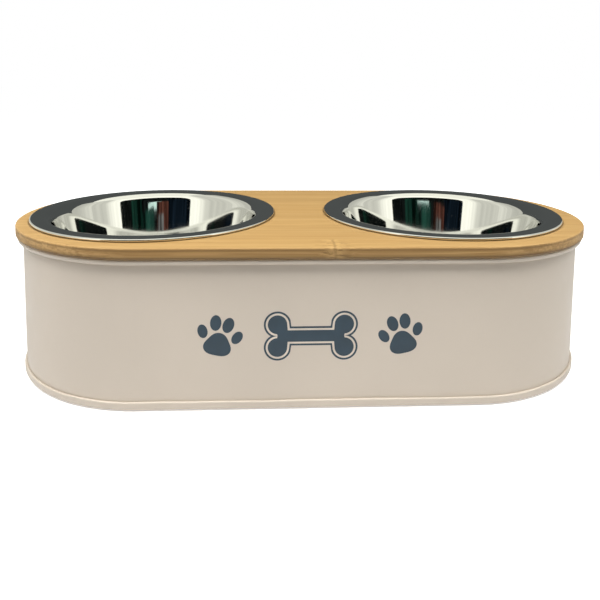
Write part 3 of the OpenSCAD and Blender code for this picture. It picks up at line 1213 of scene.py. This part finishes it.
class FEEDER_OT_stage(Operator):
    """Stage: a pale floor before plain white, a softly lit booth with an open front, and the camera"""

    bl_idname = "feeder.stage"
    bl_label = "Stage"

    def execute(self, context):
        s = context.scene.feeder_stage
        context.scene.view_settings.view_transform = "Standard"
        self.floor(s)
        self.backdrop(s.backdrop)
        self.room(s)
        self.camera(s)
        return {"FINISHED"}

    def floor(self, s):
        """Two wide squares: one that the camera sees, white but for the shadows close to the feeder, and
        one just below it that only throws light back up, brightest near the feeder."""
        seen = Finish("pale_floor")
        grain = seen.noise(seen.place(), 40, detail=3)
        tone = seen.mix(grain, (0.90, 0.90, 0.90), (0.93, 0.93, 0.93))
        seen.surface(Base_Color=tone, Roughness=0.6, Specular_IOR_Level=0)
        away = seen.add("VectorMath", {0: seen.place()}, operation="LENGTH").outputs["Value"]
        lift = seen.between(away, 0.3, 0.6, s.floor_lift, 1.0)
        seen.surface(Emission_Color=(1, 1, 1, 1), Emission_Strength=lift)
        floor = self.square("floor", 0, seen.material)
        floor.visible_diffuse = False
        floor.visible_glossy = False
        floor.visible_shadow = False

        lit = Finish("floor_bounce")
        squeezed = lit.stretched(lit.place(), (0.5, 1, 0))
        distance = lit.add("VectorMath", {0: squeezed}, operation="LENGTH").outputs["Value"]
        glow = lit.between(distance, 0.12, 0.45, s.floor_glow, s.floor_glow * 0.25)
        lit.surface(Base_Color=(0.5, 0.5, 0.5, 1), Roughness=1.0, Specular_IOR_Level=0)
        lit.surface(Emission_Color=(1.0, 0.97, 0.93, 1), Emission_Strength=glow)
        self.square("floor_bounce", -0.5 * MM, lit.material).visible_camera = False

    def square(self, name, height, material):
        """A level square about the feeder, much wider than the picture."""
        far = 12.0
        corners = [(-far, -far, height), (far, -far, height), (far, far, height), (-far, far, height)]
        mesh = bpy.data.meshes.new(name)
        mesh.from_pydata(corners, [], [(0, 1, 2, 3)])
        mesh.materials.append(material)
        square = bpy.data.objects.new(name, mesh)
        bpy.context.scene.collection.objects.link(square)
        return square

    def backdrop(self, strength):
        """Plain white all round, which the camera sees and which lights nothing."""
        world = bpy.data.worlds.new("backdrop")
        bpy.context.scene.world = world
        world.use_nodes = True
        background = next(n for n in world.node_tree.nodes if n.type == "BACKGROUND")
        background.inputs["Color"].default_value = (1, 1, 1, 1)
        background.inputs["Strength"].default_value = strength
        world.cycles_visibility.diffuse = False
        world.cycles_visibility.glossy = False

    def room(self, s):
        """A booth: a soft light overhead, pale walls at the sides, a dim one behind the feeder, and an open
        front just behind the camera, with the dark room beyond it. The cards near the front only show in
        reflections, because the lamps do their lighting."""
        lamps = (
            ("strip_light", (0.0, -0.36, 0.9), (0.0, -0.05, 0.05), (1.3, 0.36), s.strip_power),
            ("left_light", (-0.5, -0.2, 0.55), (-0.15, -0.05, 0.06), (0.6, 0.4), s.side_power * 2.1),
            ("right_light", (0.6, -0.2, 0.55), (0.15, -0.05, 0.06), (0.6, 0.4), s.side_power),
            ("ceiling_light", (0.05, 0.0, 1.2), (0.05, 0.0, 0), (1.2, 1.0), s.ceiling_power),
        )
        for name, place, aim, size, power in lamps:
            area_light(name, place, aim, size, power)
        left, right, front, middle, back = BOOTH.left, BOOTH.right, BOOTH.front, BOOTH.middle, BOOTH.back
        # The side walls grow dimmer towards the back: from one place to another, down to a glow
        near = (-0.42, -0.16, s.far_glow)
        far = (middle, 0.6, s.far_glow * 0.85)
        self.ceiling("ceiling", front, BOOTH.lit, PALE, s.ceiling_glow, lights=False)
        self.ceiling("ceiling_back", BOOTH.lit, back, DIM, s.back_glow)
        self.side("left_wall", left, middle, front, s.side_glow, lights=False, fade=near)
        self.side("right_wall", right, front, middle, s.side_glow, lights=False, fade=near)
        self.side("left_far_wall", left, back, middle, s.far_glow * 1.2, fade=far)
        self.side("right_far_wall", right, middle, back, s.far_glow * 1.2, fade=far)
        upright_card("back_wall", (right, back), (left, back), (0, BOOTH.tall), DIM, s.back_glow)
        self.front_wall(s)
        self.beyond(s.door_glow)

    def ceiling(self, name, start, end, colour, glow, **looks):
        """A level card at the booth's height, between two places along Y."""
        left, right, tall = BOOTH.left, BOOTH.right, BOOTH.tall
        corners = [(left, start, tall), (right, start, tall), (right, end, tall), (left, end, tall)]
        wall_card(name, corners, colour, glow, **looks)

    def side(self, name, x, start, end, glow, **looks):
        """A pale side wall between two places along Y."""
        upright_card(name, (x, start), (x, end), (0, BOOTH.tall), PALE, glow, **looks)

    def front_wall(self, s):
        """The wall round the open front: a quarter of an ellipse rounds each upper corner."""
        left, right, tall = BOOTH.left, BOOTH.right, BOOTH.tall
        wide, high = 0.17, 0.34
        corner = arc((0, 0), 1, 0, 90, 12) * (wide, high)
        foot = s.door_height - high
        outline = chain(
            np.array([(left, 0)]),
            corner * (-1, 1) + (left + wide, foot),
            corner[::-1] + (right - wide, foot),
            np.array([(right, 0), (right, tall), (left, tall)]),
        )
        corners = [(x, BOOTH.front, z) for x, z in outline]
        wall_card("front_wall", corners, PALE, s.side_glow, lights=False)

    def beyond(self, glow):
        """The dark room in front of the booth, with the dim shapes that the polished steel picks up: each
        one's distance, place and height, tint and glow."""
        shapes = (
            ("room_dark", 1.6, (-2.5, 3.5), (0.0, 2.2), (0.75, 1.0, 0.95), glow),
            ("room_lamp", 1.5, (0.01, 0.68), (0.672, 0.722), (0.74, 1.0, 0.90), 1.0),
            ("room_green", 0.10, (0.28, 0.54), (0.0, 0.60), (0.22, 1.0, 0.68), 0.026),
            ("room_teal", 0.10, (0.05, 0.28), (0.0, 0.312), (0.24, 1.0, 0.72), 0.042),
            ("room_blue", 0.09, (-0.70, -0.18), (0.0, 0.48), (0.32, 0.62, 1.0), 0.014),
            ("room_rust", 0.08, (-0.19, 0.0), (0.0, 0.318), (1.0, 0.38, 0.26), 0.10),
            ("room_grey", 0.02, (-0.115, -0.025), (0.0, 0.268), (0.95, 0.95, 0.9), 0.17),
        )
        for name, away, (left, right), heights, colour, share in shapes:
            y = BOOTH.front - away
            streaked = name != "room_lamp"
            upright_card(name, (left, y), (right, y), heights, colour, share, streaks=streaked)

    def camera(self, s):
        """The picture's camera: its focal length and its shift are shares of the picture's width."""
        data = bpy.data.cameras.new("camera")
        data.sensor_width = 36.0
        data.lens = s.focal_share * data.sensor_width
        data.shift_y = s.shift
        data.clip_start = 0.01
        camera = bpy.data.objects.new("camera", data)
        camera.matrix_world = Matrix.Translation(s.camera_place) @ self.aim(s)
        bpy.context.scene.collection.objects.link(camera)
        bpy.context.scene.camera = camera

    def aim(self, s):
        """Turn of the camera: it looks along +Y, turned right by the yaw, down by the pitch and rolled
        about its own axis."""
        level = Matrix.Rotation(pi / 2, 4, "X")
        yaw = Matrix.Rotation(-s.camera_yaw, 4, "Z")
        pitch = Matrix.Rotation(-s.camera_pitch, 4, "X")
        roll = Matrix.Rotation(s.camera_roll, 4, "Z")
        return yaw @ level @ pitch @ roll


class FEEDER_PT_panel(Panel):
    """Lists the feeder's pieces and its stage in the order they are made"""

    bl_label = "Raised Dog Feeder"
    bl_idname = "FEEDER_PT_panel"
    bl_space_type = "VIEW_3D"
    bl_region_type = "UI"
    bl_category = "Feeder"

    def draw(self, context):
        for step in STEPS:
            self.layout.operator(step.bl_idname)


STEPS = (
    FEEDER_OT_stage,
    FEEDER_OT_tin_wall,
    FEEDER_OT_tin_base,
    FEEDER_OT_rim_wire,
    FEEDER_OT_feet,
    FEEDER_OT_lid_board,
    FEEDER_OT_lid_seal,
    FEEDER_OT_bowls,
    FEEDER_OT_print,
)
GROUPS = {
    "feeder_tin": FeederTinSettings,
    "feeder_lid": FeederLidSettings,
    "feeder_bowls": FeederBowlSettings,
    "feeder_print": FeederPrintSettings,
    "feeder_stage": FeederStageSettings,
}


def register():
    for name, group in GROUPS.items():
        bpy.utils.register_class(group)
        setattr(bpy.types.Scene, name, PointerProperty(type=group))
    for step in (*STEPS, FEEDER_PT_panel):
        bpy.utils.register_class(step)


def unregister():
    for step in (FEEDER_PT_panel, *reversed(STEPS)):
        bpy.utils.unregister_class(step)
    for name, group in GROUPS.items():
        delattr(bpy.types.Scene, name)
        bpy.utils.unregister_class(group)


def main():
    register()
    for step in STEPS:
        operator = getattr(bpy.ops.feeder, step.bl_idname.split(".")[1])
        operator()


if __name__ == "__main__":
    main()
